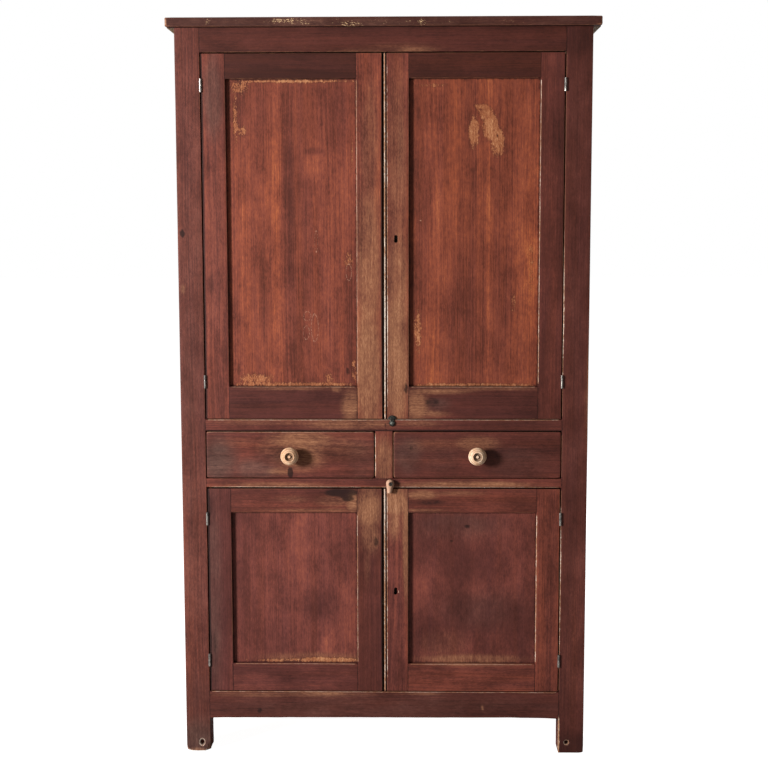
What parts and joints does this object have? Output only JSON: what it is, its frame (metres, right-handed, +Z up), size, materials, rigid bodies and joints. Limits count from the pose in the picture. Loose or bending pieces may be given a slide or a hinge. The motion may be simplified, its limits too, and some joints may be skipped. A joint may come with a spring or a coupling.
{
  "type": "jelly cupboard",
  "caption": "Tall country cupboard with panelled doors above and below a row of drawers, square legs, wooden knobs and turn buttons.",
  "frame": {"origin": "on the floor, at the centre of the box round the whole cupboard, knobs included", "axes": "+Z up, front faces -Y, +X to the right seen from the front"},
  "size_m": [1.077, 0.473, 1.88],
  "materials": {
    "stained_frame": "thin old red-brown stain, worn to tan at handled edges",
    "stained_panel": "thin old red-brown stain, warmer and clearer in the grain",
    "stained_top": "dark, grimy old stain with chipped edges",
    "bare_inside_wood": "bare, mellowed softwood",
    "back_board_wood": "bare, darkened softwood",
    "turned_knob_wood": "bare turned wood, rubbed smooth",
    "button_wood": "bare whittled wood",
    "old_iron": "dark worn iron",
    "lock_brass": "dull brass"
  },
  "bodies": {
    "case": {"post_front_left": "stained_frame", "post_front_right": "stained_frame", "post_back_left": "stained_frame", "post_back_right": "stained_frame", "top_board": "stained_top", "front_top_rail": "stained_frame", "front_bottom_rail": "stained_frame", "upper_drawer_rail": "stained_frame", "lower_drawer_rail": "stained_frame", "drawer_muntin": "stained_frame", "side_rails": "stained_frame", "side_panels": "stained_panel", "back_rails": "bare_inside_wood", "back_boards": "back_board_wood", "board_nails": "old_iron", "shelves": "bare_inside_wood", "drawer_deck": "bare_inside_wood", "bottom_board": "bare_inside_wood", "shelf_cleats": "bare_inside_wood", "drawer_runners_and_stops": "bare_inside_wood", "hinge_case_leaves": "old_iron", "hinge_pins": "old_iron", "hinge_case_screws": "old_iron", "turn_button_screws": "old_iron"},
    "upper_left_door": {"upper_left_door_hinge_stile": "stained_frame", "upper_left_door_meeting_stile": "stained_frame", "upper_left_door_rails": "stained_frame", "upper_left_door_panel": "stained_panel", "upper_left_door_hinge_leaves": "old_iron"},
    "upper_right_door": {"upper_right_door_hinge_stile": "stained_frame", "upper_right_door_meeting_stile": "stained_frame", "upper_right_door_rails": "stained_frame", "upper_right_door_panel": "stained_panel", "upper_right_door_hinge_leaves": "old_iron", "upper_lock_case": "old_iron"},
    "lower_left_door": {"lower_left_door_hinge_stile": "stained_frame", "lower_left_door_meeting_stile": "stained_frame", "lower_left_door_rails": "stained_frame", "lower_left_door_panel": "stained_panel", "lower_left_door_hinge_leaves": "old_iron"},
    "lower_right_door": {"lower_right_door_hinge_stile": "stained_frame", "lower_right_door_meeting_stile": "stained_frame", "lower_right_door_rails": "stained_frame", "lower_right_door_panel": "stained_panel", "lower_right_door_hinge_leaves": "old_iron", "lower_lock_case": "old_iron"},
    "left_drawer": {"left_drawer_front": "stained_frame", "left_drawer_sides": "bare_inside_wood", "left_drawer_back": "bare_inside_wood", "left_drawer_bottom": "bare_inside_wood", "left_drawer_knob": "turned_knob_wood"},
    "right_drawer": {"right_drawer_front": "stained_frame", "right_drawer_sides": "bare_inside_wood", "right_drawer_back": "bare_inside_wood", "right_drawer_bottom": "bare_inside_wood", "right_drawer_knob": "turned_knob_wood"},
    "upper_lock_bolt": {"upper_lock_bolt": "lock_brass"},
    "lower_lock_bolt": {"lower_lock_bolt": "lock_brass"},
    "iron_turn_button": {"iron_turn_button": "old_iron"},
    "wooden_turn_button": {"wooden_turn_button": "button_wood"}
  },
  "joints": [
    {"name": "upper_left_door_hinge", "type": "hinge", "parent": "case", "child": "upper_left_door", "pos_m": [-0.455, -0.2005, 1.34605], "axis": [0, 0, -1], "range_deg": [0, 175]},
    {"name": "upper_right_door_hinge", "type": "hinge", "parent": "case", "child": "upper_right_door", "pos_m": [0.4515, -0.2005, 1.34605], "axis": [0, 0, 1], "range_deg": [0, 175]},
    {"name": "lower_left_door_hinge", "type": "hinge", "parent": "case", "child": "lower_left_door", "pos_m": [-0.455, -0.2005, 0.4342], "axis": [0, 0, -1], "range_deg": [0, 175]},
    {"name": "lower_right_door_hinge", "type": "hinge", "parent": "case", "child": "lower_right_door", "pos_m": [0.4515, -0.2005, 0.4342], "axis": [0, 0, 1], "range_deg": [0, 175]},
    {"name": "left_drawer_slide", "type": "slide", "parent": "case", "child": "left_drawer", "axis": [0, -1, 0], "range_m": [0, 0.3]},
    {"name": "right_drawer_slide", "type": "slide", "parent": "case", "child": "right_drawer", "axis": [0, -1, 0], "range_m": [0, 0.3]},
    {"name": "upper_lock_bolt_slide", "type": "slide", "parent": "upper_right_door", "child": "upper_lock_bolt", "axis": [-1, 0, 0], "range_m": [0, 0.008]},
    {"name": "lower_lock_bolt_slide", "type": "slide", "parent": "lower_right_door", "child": "lower_lock_bolt", "axis": [-1, 0, 0], "range_m": [0, 0.008]},
    {"name": "iron_turn_button_turn", "type": "hinge", "parent": "case", "child": "iron_turn_button", "pos_m": [0.02075, -0.1989, 0.8691], "axis": [0, -1, 0], "continuous": true},
    {"name": "wooden_turn_button_turn", "type": "hinge", "parent": "case", "child": "wooden_turn_button", "pos_m": [0.01765, -0.1989, 0.71445], "axis": [0, -1, 0], "range_deg": [-90, 90]}
  ]
}
